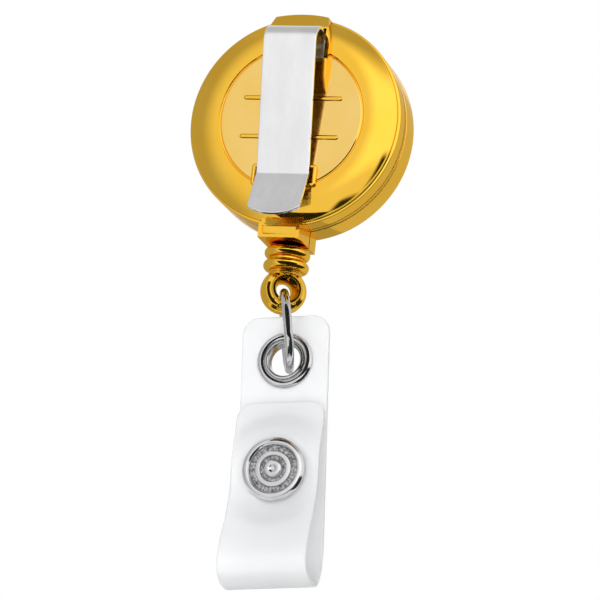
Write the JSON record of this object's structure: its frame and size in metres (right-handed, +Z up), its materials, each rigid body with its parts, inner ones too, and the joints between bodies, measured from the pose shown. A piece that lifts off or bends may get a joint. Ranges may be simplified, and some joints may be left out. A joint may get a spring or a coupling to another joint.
{
  "type": "retractable badge reel",
  "caption": "Round spring-wound badge reel with a belt clip on its back, a cord-end eyelet, a wire ring and a snap-closed vinyl badge strap.",
  "frame": {"origin": "centre of the rear cover's flat disc, which the belt or pocket lies against when the reel hangs by its clip", "axes": "+Z up with the clip's fold at the top, -Y out of the rear cover towards the clip, and the cord leaves downwards along -Z"},
  "size_m": [0.0318, 0.0166, 0.0859],
  "materials": {
    "gold_housing": "bright gold plating on moulded plastic",
    "clip_steel": "bright nickel-plated spring steel",
    "nickel": "bright nickel plating",
    "vinyl": "frosted, milky, slightly see-through vinyl",
    "inner_plastic": "plain moulded plastic",
    "spring_steel": "blued spring strip",
    "cord": "braided nylon"
  },
  "bodies": {
    "housing": {"rear_cover": "gold_housing", "front_cover": "gold_housing", "clip_base": "clip_steel", "cord_inner_run": "cord", "mainspring": "spring_steel"},
    "clip_arm": {"clip_arm": "clip_steel"},
    "spool": {"spool": "inner_plastic", "spring_retainer": "inner_plastic", "cord_winding": "cord", "anchor_knot": "cord"},
    "cord_end": {"cord_outer_run": "cord", "stop_knot": "cord"},
    "fitting": {"end_fitting": "gold_housing"},
    "ring": {"jump_ring": "nickel"},
    "strap": {"strap_back_leaf": "vinyl", "grommet": "nickel", "grommet_washer": "nickel", "snap_stud": "nickel", "snap_post": "nickel"},
    "flap": {"strap_front_leaf": "vinyl", "snap_cap": "nickel", "snap_socket": "nickel"}
  },
  "joints": [
    {"name": "clip_flex", "type": "hinge", "parent": "housing", "child": "clip_arm", "pos_m": [0, -0.00193, 0.01035], "axis": [-1, 0, 0], "range_deg": [0, 9], "stiffness_Nm_per_rad": 0.6, "springref_deg": -5.73},
    {"name": "cord_pull", "type": "slide", "parent": "housing", "child": "cord_end", "axis": [0, 0, -1], "range_m": [0, 0.86], "stiffness_N_per_m": 0.75, "springref_m": -0.53, "deforming": ["cord_outer_run"]},
    {"name": "spool_spin", "type": "hinge", "parent": "housing", "child": "spool", "pos_m": [0, 0.0056, 0], "axis": [0, -1, 0], "continuous": true},
    {"name": "fitting_swivel", "type": "hinge", "parent": "cord_end", "child": "fitting", "pos_m": [0, 0.0056, -0.0247], "axis": [0, 0, 1], "continuous": true},
    {"name": "ring_swing", "type": "hinge", "parent": "fitting", "child": "ring", "pos_m": [0, 0.0056, -0.0247], "axis": [-0.5299, 0.848, 0], "range_deg": [-50, 65]},
    {"name": "strap_swing", "type": "hinge", "parent": "ring", "child": "strap", "pos_m": [0.00103, 0.00593, -0.0305], "axis": [0.9369, 0.2972, 0.1839], "range_deg": [-90, 90]},
    {"name": "strap_open", "type": "hinge", "parent": "strap", "child": "flap", "pos_m": [0.0042, 0.001, -0.06951], "axis": [0.9969, 0, 0.0785], "range_deg": [0, 110]}
  ],
  "couplings": [
    {"joint": "spool_spin", "follows": "cord_pull", "rad_per_m": 83.3}
  ]
}
